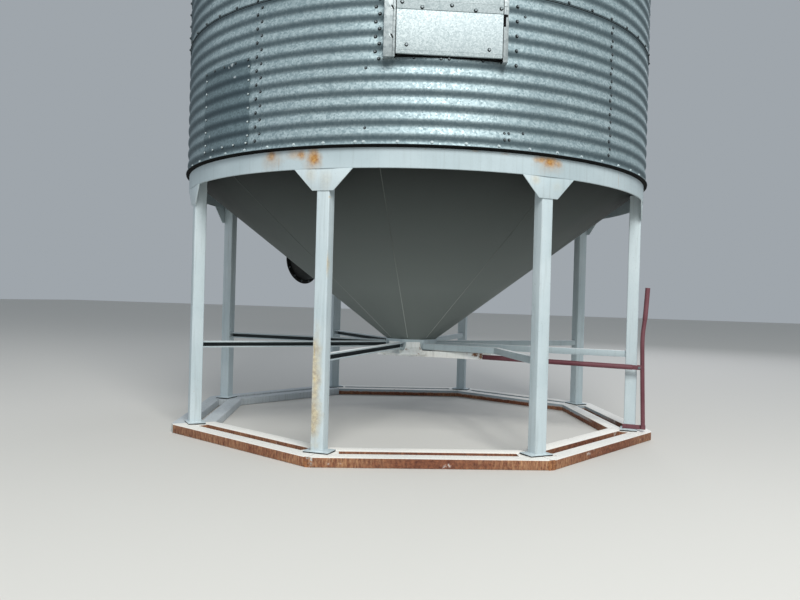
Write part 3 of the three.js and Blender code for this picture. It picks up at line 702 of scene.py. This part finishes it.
def makeManhole():
    turn, slope = turnedTo(manhole["azimuth"]), coneSlope()
    place = turn @ movedBy(manhole["radius"], 0, manhole["height"])
    place = place @ tipped(math.radians(90 + manhole["droop"]))
    tube, bore, flange, reach = (manhole[k] for k in ("tube", "bore", "flange", "reach"))
    lid, sheet, circle = manhole["lid"], manhole["sheet"], manhole["boltCircle"]
    seat = -sheet - manhole["gap"]
    back = seat - manhole["flangeSheet"]
    bm = bmesh.new()
    turnOutline(bm, [(tube, -reach), (tube, back), (flange - mm, back), (flange, back + mm), (flange, seat),
                     (bore, seat), (bore, -reach)], 48)
    bmesh.ops.transform(bm, matrix=place, verts=bm.verts)
    # the tube stops behind the cone's sheet, cut along the flat tangent there
    behind = Vector((hopper["coneBottom"], 0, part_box("hopper_cone")[0].z + 12 * mm))
    cutAway(bm, turn @ behind, turn @ Vector((-math.sin(slope), 0, math.cos(slope))))
    finishPiece(bm, "manholeTube", manholeEnamel, ["manhole_collar"])
    bm = bmesh.new()
    turnOutline(bm, [(0.001, -sheet), (lid - mm, -sheet), (lid, -sheet + mm), (lid, -mm), (lid - mm, 0),
                     (0.18, mm), (0.15, 6 * mm), (0.11, 12 * mm), (0.001, 16 * mm)], 48)
    finishPiece(bm, "manholeCover", manholeEnamel, ["manhole_lid"], place=place)
    bm = bmesh.new()
    for k in range(manhole["bolts"]):
        turn = math.radians(manhole["firstBolt"] + k * 360 / manhole["bolts"])
        for side, face in ((1, -mm), (-1, back)):
            spot = movedBy(circle * -math.cos(turn), circle * math.sin(turn), face)
            addBolt(bm, place @ spot @ tipped(-side * math.pi / 2), 1.1)
    finishPiece(bm, "manholeBolts", (boltZinc, boltZinc))


makeBandAndFlange()
makeCone()
makeManhole()
print("hopper made")


hub = {
    "apothem": 0.25, "wall": 10 * mm, "bottom": 0.7233, "plate": 6 * mm,
    "flares": (-112.5, -67.5, 67.5, 112.5),
    "rows": ((0.803, 0.256, 0.067), (0.752, 0.256, 0.076), (0.722, 0.286, 0.092), (0.704, 0.304, 0.110),
             (0.686, 0.322, 0.133)),  # height, distance from the axis, half width
}


def makeHub():
    top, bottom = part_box("outlet_hub")[1].z, hub["bottom"]
    corner = 1 / math.cos(math.pi / 8)
    outer, inner = hub["apothem"] * corner, (hub["apothem"] - hub["wall"]) * corner
    bm = bmesh.new()
    turnOutline(bm, [(outer, bottom), (outer, top), (inner, top), (inner, bottom)], 8)
    soften(bm, 1.5 * mm)
    finishPiece(bm, "hubRing", greyEnamel, ["outlet_hub"])
    for number, azimuth in enumerate(hub["flares"]):
        bm = bmesh.new()
        height, away, half = hub["rows"][0]
        row = [bm.verts.new((away, side * half, height)) for side in (-1, 1)]
        edge = bm.edges.new(row)
        for height, away, half in hub["rows"][1:]:
            made = bmesh.ops.extrude_edge_only(bm, edges=[edge])["geom"]
            edge = next(e for e in made if isinstance(e, bmesh.types.BMEdge) and e.verts[0] in made
                        and e.verts[1] in made and len(e.link_faces) == 1)
            for vert in edge.verts:
                vert.co = Vector((away, math.copysign(half, vert.co.y), height))
        bmesh.ops.recalc_face_normals(bm, faces=bm.faces)
        bmesh.ops.solidify(bm, geom=bm.faces[:], thickness=hub["plate"])
        shift = hub["rows"][-1][1] - max(v.co.x for v in bm.verts)
        bmesh.ops.translate(bm, vec=(shift, 0, 0), verts=bm.verts)
        soften(bm, 1.2 * mm, sharperThan=60)
        # painted light: the flares take the whiter gate paint, for the light that falls on them
        finishPiece(bm, f"hubFlare{number + 1}", gateEnamel, place=turnedTo(azimuth))


gate = {
    "half": 0.24, "rail": 40 * mm, "bottom": 0.665, "flangeEnd": 0.29, "flangeSheet": 6 * mm, "mouth": 0.165,
    "ledgeTop": 0.696, "ledgeSheet": 6 * mm, "ledgeReach": 20 * mm, "bolts": (-0.2, -0.07, 0.07, 0.2),
    "plateHalf": 0.194, "plateFront": 0.275, "plateSheet": 6 * mm, "apronHalf": 0.172, "apronBottom": 0.674,
    "lugY": -0.1085, "lugSheet": 8 * mm, "lug": 47 * mm,
}


def makeGate():
    low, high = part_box("gate_frame")
    rail, bottom, mouth, ledge = gate["rail"], gate["bottom"], gate["mouth"], gate["ledgeTop"]
    bay = gate["half"] - rail
    bm = bmesh.new()
    for side in (-1, 1):
        near, far = sorted((side * gate["half"], side * bay))
        block(bm, (low.x, near, bottom), (high.x, far, high.z))
        near, far = sorted((side * (bay - gate["ledgeReach"]), side * (bay + mm)))
        block(bm, (low.x, near, ledge - gate["ledgeSheet"]), (high.x, far, ledge))
    block(bm, (low.x, -bay, bottom), (low.x + rail, bay, high.z))
    for x0, x1, y0, y1 in ((low.x + rail, -mouth, -bay, bay), (mouth, gate["flangeEnd"], -bay, bay),
                           (-mouth, mouth, -bay, -mouth), (-mouth, mouth, mouth, bay)):
        block(bm, (x0, y0, high.z - gate["flangeSheet"]), (x1, y1, high.z - 0.2 * mm))
    soften(bm, 2 * mm, steps=3)
    for x in gate["bolts"]:
        for side in (-1, 1):
            addBolt(bm, movedBy(x, side * (bay + rail / 2), bottom) @ tipped(math.pi / 2), 0.9)
    finishPiece(bm, "gateRails", (gateEnamel, boltZinc), ["gate_frame"])
    low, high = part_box("gate_plate")
    front, plateHalf, apron = gate["plateFront"], gate["plateHalf"], gate["apronHalf"]
    foot, lugY, side = gate["apronBottom"], gate["lugY"], gate["lugSheet"] / 2
    underside = high.z - gate["plateSheet"]
    bm = bmesh.new()
    block(bm, (low.x, -plateHalf, underside), (front, plateHalf, high.z))
    block(bm, (front - gate["plateSheet"], -apron, foot), (front, apron, underside))
    block(bm, (front, lugY - side, foot), (front + gate["lug"], lugY + side, high.z - mm))
    soften(bm, 1 * mm)
    finishPiece(bm, "gateSheet", gateEnamel, ["gate_plate"], body="gate")


lever = {
    "y": -0.078, "radius": 19 * mm, "sleeve": 21.5 * mm, "sleeveFrom": 1.06, "rodRadius": 23 * mm,
    "path": ((2.256, 0.104), (2.246, 0.385), (2.237, 0.665), (2.232, 0.930), (2.250, 1.127), (2.265, 1.383)),
    "pivot": (2.2555, 0.118), "pin": 8 * mm, "rodY": -0.125, "rodPin": (2.211, 0.661),
    "rodInner": (0.3, 0.69), "bolt": 7 * mm, "boltHead": 13 * mm, "flat": 60 * mm, "flatSheet": 11 * mm,
    "flatHeight": 40 * mm,
    "strapY": -0.0511, "strapSheet": 6 * mm, "strapIn": 2.076, "strapOut": 2.278, "strapFoot": 0.094,
    "strapTop": 0.134,
}


def makeLever():
    y, radius, strapY, pin, flat = (lever[k] for k in ("y", "radius", "strapY", "pin", "flat"))
    pinX, pinZ = lever["rodPin"]
    bm = bmesh.new()
    points = pathPoints([(x, y, z) for x, z in lever["path"]])
    addBar(bm, points, radius)
    # the grip: a wider sleeve over the upper part
    addBar(bm, [p for p in points if p.z > lever["sleeveFrom"]], lever["sleeve"])
    softBlock(bm, (pinX - 18 * mm, y - 6 * mm, pinZ - 20 * mm), (pinX + 20 * mm, y + 6 * mm, pinZ + 20 * mm),
              3 * mm, sharperThan=60)
    headY = lever["rodY"] - lever["flatSheet"] / 2 - 10 * mm
    addPin(bm, (pinX, headY, pinZ), (pinX, y, pinZ), lever["bolt"])
    giveFinish(addPin(bm, (pinX, headY - 8 * mm, pinZ), (pinX, headY, pinZ), lever["boltHead"], sides=6), 1)
    finishPiece(bm, "leverBar", (redEnamel, boltZinc), ["hand_lever"], body="lever",
                sharperThan=50)
    bm = bmesh.new()
    innerX, innerZ = lever["rodInner"]
    length = math.hypot(pinX - innerX, pinZ - innerZ)
    addPin(bm, (-length + flat, 0, 0), (-flat, 0, 0), lever["rodRadius"], sides=24)
    side, tall = lever["flatSheet"] / 2, lever["flatHeight"] / 2
    for low, high in ((-flat - 15 * mm, 23 * mm), (-length - 15 * mm, -length + flat + 15 * mm)):
        softBlock(bm, (low, -side, -tall), (high, side, tall), 2 * mm)
    place = movedBy(pinX, lever["rodY"], pinZ) @ tipped(math.atan2(innerZ - pinZ, pinX - innerX))
    finishPiece(bm, "pullBar", redEnamel, ["pull_rod"], body="rod", place=place)
    bm = bmesh.new()
    softBlock(bm, (lever["strapIn"], strapY - lever["strapSheet"], lever["strapFoot"]),
              (lever["strapOut"], strapY, lever["strapTop"]), 1.5 * mm)
    pivotX, pivotZ = lever["pivot"]
    pinEnd = y - radius - 2 * mm
    addPin(bm, (pivotX, pinEnd - mm, pivotZ), (pivotX, strapY - mm, pivotZ), pin)
    addPin(bm, (pivotX, pinEnd - 6 * mm, pivotZ), (pivotX, pinEnd, pivotZ), pin + 6 * mm, sides=6)
    finishPiece(bm, "leverStrap", redEnamel, ["lever_bracket"], sharperThan=40)


makeHub()
makeGate()
makeLever()
print("gate and lever made")


wall = {
    "radius": 2.222, "depth": 12.7 * mm, "pitch": 107.3 * mm, "spaces": 56, "stepsPerSpace": 3,
    "crest": 72.5 * mm,  # first crest above the wall's foot
    "perWave": 8, "sheetSpaces": (12, 12, 12, 12, 8), "seams": (-105.5, -143.9), "lap": 2.5,
    "lapRise": 1.6 * mm, "sheet": 1.1 * mm, "tuckedUnder": 30 * mm,
}
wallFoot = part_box("wall_ring_1")[0].z


def wallRadius(height):
    wave = math.cos(2 * math.pi * (height - wallFoot - wall["crest"]) / wall["pitch"])
    return wall["radius"] - wall["lapRise"] - wall["depth"] / 2 * (1 - wave)


# an upright edge turned part of the way round the Z axis, as a sheet
def turnSheet(bm, verts, start, span, steps):
    edges = [bm.edges.new(pair) for pair in zip(verts, verts[1:])]
    bmesh.ops.rotate(bm, verts=verts, cent=(0, 0, 0), matrix=turnedTo(start))
    bmesh.ops.spin(bm, geom=verts + edges, cent=(0, 0, 0), axis=(0, 0, 1), angle=math.radians(span),
                   steps=steps)


def makeWall():
    space, lap = 360 / wall["spaces"], wall["lap"]
    for ring in range(5):
        low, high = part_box(f"wall_ring_{ring + 1}")
        bm = bmesh.new()
        start = wall["seams"][ring % 2]
        tall = high.z - low.z + (wall["tuckedUnder"] if ring < 4 else 0)
        rows = round(tall / (wall["pitch"] / wall["perWave"]))
        for spaces in wall["sheetSpaces"]:
            verts = []
            for z in [low.z + tall * k / rows for k in range(rows + 1)]:
                tuck = 2 * mm if z > high.z - 15 * mm and ring < 4 else 0
                verts.append(bm.verts.new((wallRadius(z) - tuck, 0, z)))
            before = set(bm.verts)
            turnSheet(bm, verts, start - lap / 2, spaces * space + lap, spaces * wall["stepsPerSpace"] + 1)
            # the end of each sheet rises over the start of the next
            for v in [v for v in bm.verts if v not in before]:
                turn = (math.degrees(math.atan2(v.co.y, v.co.x)) - start + 5) % 360 - 5
                lift = wall["lapRise"] * max(0, min(1, (turn - (spaces * space - 4)) / 2.5))
                v.co += Vector((v.co.x, v.co.y, 0)).normalized() * lift
            start += spaces * space
        bmesh.ops.solidify(bm, geom=bm.faces[:], thickness=wall["sheet"])
        finishPiece(bm, f"wallSheets{ring + 1}", wallZinc, [f"wall_ring_{ring + 1}"],
                    sharperThan=50)


def onWall(azimuth, height, out=0.0):
    return turnedTo(azimuth) @ movedBy(wallRadius(height) + out, 0, height)


fixings = {
    "columnGap": 0.9,  # degrees between the two bolt columns of a seam
    "aboveLap": 30 * mm, "footRow": 16 * mm, "firstLap": -86.8, "footJoint": (-83.6, -82.0),
    "lapLines": ((9, 13, 2.0), (18, 21, 2.0)),  # from and to above the upper ring's foot, and out, in mm
    "loose": ((-55.3, 2.398), (-54.4, 2.4), (-55.3, 2.446), (-54.4, 2.448), (-51.4, 2.459), (-81.8, 2.449),
              (-81.9, 2.88), (-51.6, 3.31)),
    "underHatch": ((-72.9, 2.949), (-67.9, 2.946), (-66.4, 2.948), (-60.0, 2.95)),
    "besideHatch": (-80.2, -53.4), "edge": 25 * mm, "hatchEdge": 30 * mm,
}


def makeBolts():
    space, half, pitch = 360 / wall["spaces"], wall["spaces"] // 2, wall["pitch"]
    footBolts = bmesh.new()
    for ring in range(5):
        low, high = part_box(f"wall_ring_{ring + 1}")
        bm = bmesh.new()
        seam, aside, columns = wall["seams"][ring % 2], fixings["columnGap"] / 2, []
        for spaces in wall["sheetSpaces"]:
            columns += [(seam - aside, False), (seam + aside, True)]
            seam += spaces * space
        if ring < 2:
            left, right = fixings["besideHatch"]
            columns += [(left, True), (left + 0.8, False), (right - 1, True), (right, False)]
        for azimuth, inValleys in columns:
            if ring < 2 and abs(azimuth - hatch["azimuth"]) < hatch["clear"] and high.z > hatch["bottom"]:
                continue
            bottom, top = low.z + fixings["edge"], high.z - fixings["edge"]
            if ring < 2 and min(abs(azimuth - a) for a in fixings["besideHatch"]) < 1.5:
                bottom = max(bottom, hatch["bottom"] - fixings["hatchEdge"])
                top = min(top, hatch["top"] + fixings["hatchEdge"])
            height = low.z + (wallFoot + wall["crest"] - low.z) % pitch + (pitch / 2 if inValleys else 0)
            while height < top:
                if height > bottom:
                    addBolt(bm, onWall(azimuth, height, wall["lapRise"]), 1.2)
                height += pitch
        if ring == 0:
            left, right = fixings["footJoint"]
            places = [left - k * space for k in range(half)] + [right + k * space for k in range(half + 1)]
            for azimuth in places:
                addBolt(footBolts, onWall(azimuth, low.z + fixings["footRow"], 0.5 * mm), 1.2)
            for azimuth, height in fixings["loose"] + fixings["underHatch"]:
                addBolt(bm, onWall(azimuth, height, 0.5 * mm))
        for k in range(wall["spaces"] if ring else 0):
            azimuth = fixings["firstLap"] + k * space
            behindHatch = abs((azimuth - hatch["azimuth"] + 180) % 360 - 180) < hatch["clear"]
            if not (behindHatch and ring == 1):
                addBolt(bm, onWall(azimuth, low.z + fixings["aboveLap"], 0.5 * mm), 1.15)
        finishPiece(bm, f"wallBolts{ring + 1}", (boltZinc, washerRubber))
    # painted highlight: the foot-row bolts and their washers take the pale hatch zinc, for their glints
    finishPiece(footBolts, "wallFootBolts", (hatchZinc, hatchZinc))
    # painted shade: two black strips along each ring's lap stand in for the dark lines of shade there
    bm = bmesh.new()
    for ring in range(1, 5):
        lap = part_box(f"wall_ring_{ring + 1}")[0].z
        for start, end, out in fixings["lapLines"]:
            low, high = lap + start * mm, lap + end * mm
            outer = max(wallRadius(low), wallRadius(high)) + out * mm
            turnOutline(bm, [(outer - 8 * mm, low), (outer, low), (outer, high), (outer - 8 * mm, high)], 224)
    finishPiece(bm, "lapStrips", blackSeal)


patch = {
    "low": (-125.3, 2.385), "high": (-107.9, 3.06), "sheet": 1.5 * mm, "rows": 53, "steps": 10,
    "sideBolts": 6, "sideInset": 0.5, "endBolts": 5, "endInset": 15 * mm,
}


# a second sheet screwed over the wall, with bolts down both sides and along its ends
def makePatch():
    (left, bottom), (right, top), rows = patch["low"], patch["high"], patch["rows"]
    heights = [bottom + (top - bottom) * k / rows for k in range(rows + 1)]
    out = wall["lapRise"] + patch["sheet"]
    bm = bmesh.new()
    verts = [bm.verts.new((wallRadius(z) + out, 0, z)) for z in heights]
    turnSheet(bm, verts, left, right - left, patch["steps"])
    bmesh.ops.solidify(bm, geom=bm.faces[:], thickness=patch["sheet"])
    finishPiece(bm, "patchSheet", patchZinc, sharperThan=50)
    bm = bmesh.new()
    topBolts = bmesh.new()
    for k in range(patch["sideBolts"]):
        height = wallFoot + wall["crest"] + (k + 0.5) * wall["pitch"]
        for azimuth in (left + patch["sideInset"], right - patch["sideInset"]):
            addBolt(bm, onWall(azimuth, height, 3 * mm), 1.1)
    for k in range(patch["endBolts"]):
        azimuth = left + 0.9 + k * (right - left - 1.4) / (patch["endBolts"] - 1)
        addBolt(topBolts, onWall(azimuth, top - patch["endInset"], 3 * mm))
        addBolt(bm, onWall(azimuth, bottom + patch["endInset"], 3 * mm), 1.1)
    # painted highlight: the patch's side and bottom bolts take the pale hatch zinc, for their glints; the top
    # row keeps the darker bolt zinc
    finishPiece(bm, "patchBolts", (hatchZinc, washerRubber))
    finishPiece(topBolts, "patchTopBolts", (boltZinc, washerRubber))


hatch = {
    "azimuth": -66.7, "left": -0.462, "right": 0.431, "bottom": 2.936, "top": 3.97, "face": 2.246,
    "back": 2.17, "rebate": 2.2263, "seal": 2.2262, "sealFoot": 2.951, "clear": 12.5,
    "panelLeft": -0.3745, "panelRight": 0.391, "panelBottom": 2.963, "split": 3.278, "panelTop": 3.925,
    "panelFace": 2.25, "foldLeft": 24 * mm, "foldRight": 4 * mm, "lip": 12 * mm,
    "panelBolts": ((-0.3, 3.024), (0.294, 3.017)),
    "leafBolts": ((-0.337, 3.325), (-0.194, 3.295), (0.018, 3.319), (0.189, 3.292), (0.374, 3.315)),
    "beads": (100 * mm, 210 * mm, 330 * mm, 450 * mm), "hooks": ((-0.403, 3.286), (-0.404, 3.082)),
    "lean": 28, "latch": (0.392, 3.19), "latchTop": 3.269, "pin": (0.411, 3.275), "pinTop": 3.335,
}


def makeHatch():
    place, lean = turnedTo(hatch["azimuth"]), Matrix.Rotation(math.radians(hatch["lean"]), 3, "X")
    left, right, bottom, top, face = (hatch[k] for k in ("left", "right", "bottom", "top", "face"))
    back, rebate, seal, split, panelBottom = (
        hatch[k] for k in ("back", "rebate", "seal", "split", "panelBottom"))
    panelLeft, panelRight = hatch["panelLeft"] - mm, hatch["panelRight"] + mm
    foldLeft, foldRight = panelLeft - hatch["foldLeft"], panelRight + hatch["foldRight"]
    bm = bmesh.new()
    block(bm, (back, left, bottom), (face, foldLeft, top))
    block(bm, (back, foldRight, bottom), (face, right, top))
    block(bm, (back, foldLeft, hatch["panelTop"] + mm), (face, foldRight, top))
    block(bm, (back, panelLeft, panelBottom + 6 * mm), (rebate, panelRight, panelBottom + 36 * mm))
    # folded lips that the leaves lie against
    lip = foldLeft + 2 * mm
    block(bm, (back, lip, bottom), (face + mm, lip + hatch["lip"], top - 5 * mm))
    block(bm, (back, foldLeft - mm, bottom + 8 * mm), (face - 9 * mm, panelLeft, top - 5 * mm))
    soften(bm, 1.2 * mm)
    for y, z in hatch["hooks"]:
        tab = block(bm, (face - mm, -5 * mm, -15 * mm), (face + 3 * mm, 4 * mm, 15 * mm),
                    movedBy(0, y - 12 * mm, z + 4 * mm))
        bmesh.ops.rotate(bm, verts=tab, cent=(face, y - 9 * mm, z), matrix=lean)
    (pin, pinFoot), pinTop = hatch["pin"], hatch["pinTop"]
    addPin(bm, (face + mm, pin, pinFoot), (face + mm, pin, pinTop), 2.5 * mm, sides=10)
    addPin(bm, (face + mm, pin - 11 * mm, pinTop), (face + mm, pin + 9 * mm, pinTop), 2.5 * mm, sides=10)
    finishPiece(bm, "hatchRim", stripZinc, ["hatch_frame"], place=place)
    bm = bmesh.new()
    for y, z in hatch["hooks"]:
        hook = block(bm, (face - 2 * mm, -4.5 * mm, -16 * mm), (face + 2.2 * mm, 4.5 * mm, 16 * mm),
                     movedBy(0, y, z))
        bmesh.ops.rotate(bm, verts=hook, cent=(face, y, z), matrix=lean)
    (latchY, low), high = hatch["latch"], hatch["latchTop"]
    softBlock(bm, (face - 2 * mm, latchY, low), (face + 4.5 * mm, latchY + 19 * mm, high), 3 * mm,
              sharperThan=60)
    # the latch's nose
    softBlock(bm, (face - 2 * mm, latchY, high - 10 * mm), (face + 6 * mm, latchY + 32 * mm, high + 8 * mm),
              4 * mm, sharperThan=60)
    # painted shade: black strips under the panel, at the split and beside the leaves stand in for the dark
    # gaps round them
    block(bm, (back, panelLeft + mm, hatch["sealFoot"]), (seal, panelRight - mm, panelBottom + 6 * mm))
    block(bm, (2.2, panelLeft + mm, split - 12 * mm), (seal, panelRight - mm, split + 12 * mm))
    block(bm, (back, panelLeft - 4 * mm, bottom + 8 * mm),
          (face - 7 * mm, panelLeft + 0.5 * mm, top - 5 * mm))
    block(bm, (back, panelRight, bottom + 4 * mm), (face - 4 * mm, foldRight - 0.5 * mm, top - 5 * mm))
    finishPiece(bm, "hatchSeal", blackSeal, place=place)
    left, right, front = hatch["panelLeft"], hatch["panelRight"], hatch["panelFace"]
    # a crease where the sheet is folded is a shallow step, from and to these distances from the leaf's ends
    for name, node, low, high, stepFoot, stepTop, bolts, beads in (
            ("hatchPanel", "hatch_panel", panelBottom, split - 2.5 * mm, 26 * mm, 4 * mm, "panelBolts", ()),
            ("hatchLeaf", "hatch_door", split + 1.5 * mm, hatch["panelTop"], 62 * mm, 30 * mm, "leafBolts",
             hatch["beads"])):
        bm = bmesh.new()
        block(bm, (rebate, left, low), (front - 1.2 * mm, right, high))
        soften(bm, 1.6 * mm)
        softBlock(bm, (front - 1.4 * mm, left + 3 * mm, low + stepFoot),
                  (front, right - 3 * mm, high - stepTop), 1.2 * mm, steps=3)
        # drawn beads across the leaf, so shallow that they show only as faint lines
        for z in beads:
            softBlock(bm, (front - mm, left + 20 * mm, low + z),
                      (front + 0.8 * mm, right - 20 * mm, low + z + 9 * mm), 0.7 * mm)
        for y, z in hatch[bolts]:
            addBolt(bm, movedBy(front - 1.5 * mm, y, z), 1.3, head=2)
        finishPiece(bm, name, (hatchZinc, washerRubber, boltZinc), [node], place=place)


makeWall()
makeBolts()
makePatch()
makeHatch()
print("wall made")


roof = {
    "pitch": 30, "eave": 2.31, "sheet": 8 * mm, "ribs": 14, "ribWide": 50 * mm, "ribTall": 34 * mm,
    "collar": 0.33, "collarHeight": 60 * mm, "cap": 0.352,
    "boltsPerRow": 9, "firstBolt": 0.12, "boltStep": 0.22, "boltAside": 40 * mm,
}


def makeRoof():
    pitch = math.radians(roof["pitch"])
    sheet = roof["sheet"] / math.cos(pitch)
    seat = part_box("wall_ring_5")[1].z + 0.3 * mm

    def under(radius):
        return seat + (wall["radius"] - radius) * math.tan(pitch)

    def onRoof(rib, radius, aside=0.0):
        return turnedTo(rib * 360 / roof["ribs"]) @ movedBy(radius, aside, under(radius) + sheet)

    eave, collar, inner = roof["eave"], roof["collar"], roof["collar"] - roof["sheet"]
    collarTop = under(collar) + sheet + roof["collarHeight"]
    bm = bmesh.new()
    turnOutline(bm, [(eave, under(eave)), (eave, under(eave) + sheet), (collar, under(collar) + sheet),
                     (collar, collarTop), (inner, collarTop), (inner, under(inner))], 112)
    start, end = collar + 15 * mm, eave - 10 * mm
    length = (end - start) / math.cos(pitch)
    wide, tall = roof["ribWide"] / 2, roof["ribTall"] - 3 * mm
    for k in range(roof["ribs"]):
        place = onRoof(k, (start + end) / 2) @ tipped(pitch)
        # one rib is a folded sheet: a low broad foot under a narrow standing seam
        foot = block(bm, (-length / 2, -wide, -3 * mm), (length / 2, wide, tall * 0.45), place)
        seam = block(bm, (-length / 2, -wide / 2, 0), (length / 2, wide / 2, tall), place)
        soften(bm, 4 * mm, steps=3, sharperThan=60, verts=foot + seam)
    finishPiece(bm, "roofSheets", roofZinc, ["roof"])
    bm = bmesh.new()
    for k in range(roof["ribs"]):
        for side in (-1, 1):
            for n in range(roof["boltsPerRow"]):
                radius = collar + roof["firstBolt"] + n * roof["boltStep"]
                addBolt(bm, onRoof(k, radius, side * roof["boltAside"]) @ tipped(pitch - math.pi / 2))
    finishPiece(bm, "roofBolts", (boltZinc, washerRubber))
    low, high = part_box("roof_cap")
    bm = bmesh.new()
    cap, top = roof["cap"], low.z + 35 * mm
    turnOutline(bm, [(cap - 8 * mm, low.z), (cap - mm, low.z), (cap, low.z + mm), (cap, top + 8 * mm),
                     (cap - 3 * mm, top + 11 * mm), (0.19, top + 62 * mm), (0.1, top + 73 * mm),
                     (0.002, high.z), (0.002, top), (cap - 8 * mm, top)], 84)
    finishPiece(bm, "roofLid", roofZinc, ["roof_cap"])


makeRoof()
print("roof made")


def makeStudio():
    bm = bmesh.new()
    bmesh.ops.create_grid(bm, x_segments=1, y_segments=1, size=60)
    mesh = bpy.data.meshes.new("studioFloor")
    bm.to_mesh(mesh)
    bm.free()
    floor = bpy.data.objects.new("studioFloor", mesh)
    bpy.context.collection.objects.link(floor)
    material, shader = startMaterial("paleFloor")[:2]
    setInputs(shader, {"Base Color": "#d2d0cb", "Roughness": 0.9})
    mesh.materials.append(material)
    world = bpy.data.worlds.new("softSky")
    bpy.context.scene.world = world
    world.use_nodes = True
    setInputs(world.node_tree.nodes["Background"], {"Color": "#d9e2ea", "Strength": 0.5})
    for name, place, size, power, colour in (
            ("keyLight", (5.8, -10.8, 11.5), 6, 2300, "#fbfbf8"),
            ("fillLight", (-9, -8, 4), 7, 70, "#e8f0ff"),
            ("backLight", (2, 12, 9), 7, 380, "#f4f6ff")):
        lamp = bpy.data.lights.new(name, "AREA")
        lamp.size = size
        lamp.energy = power
        lamp.color = linear(colour)[:3]
        light = bpy.data.objects.new(name, lamp)
        light.location = place
        light.rotation_euler = (Vector((0, 0, 2.5)) - Vector(place)).to_track_quat("-Z", "Y").to_euler()
        bpy.context.collection.objects.link(light)
    bpy.context.scene.view_settings.view_transform = "Standard"


makeStudio()
print("studio made")
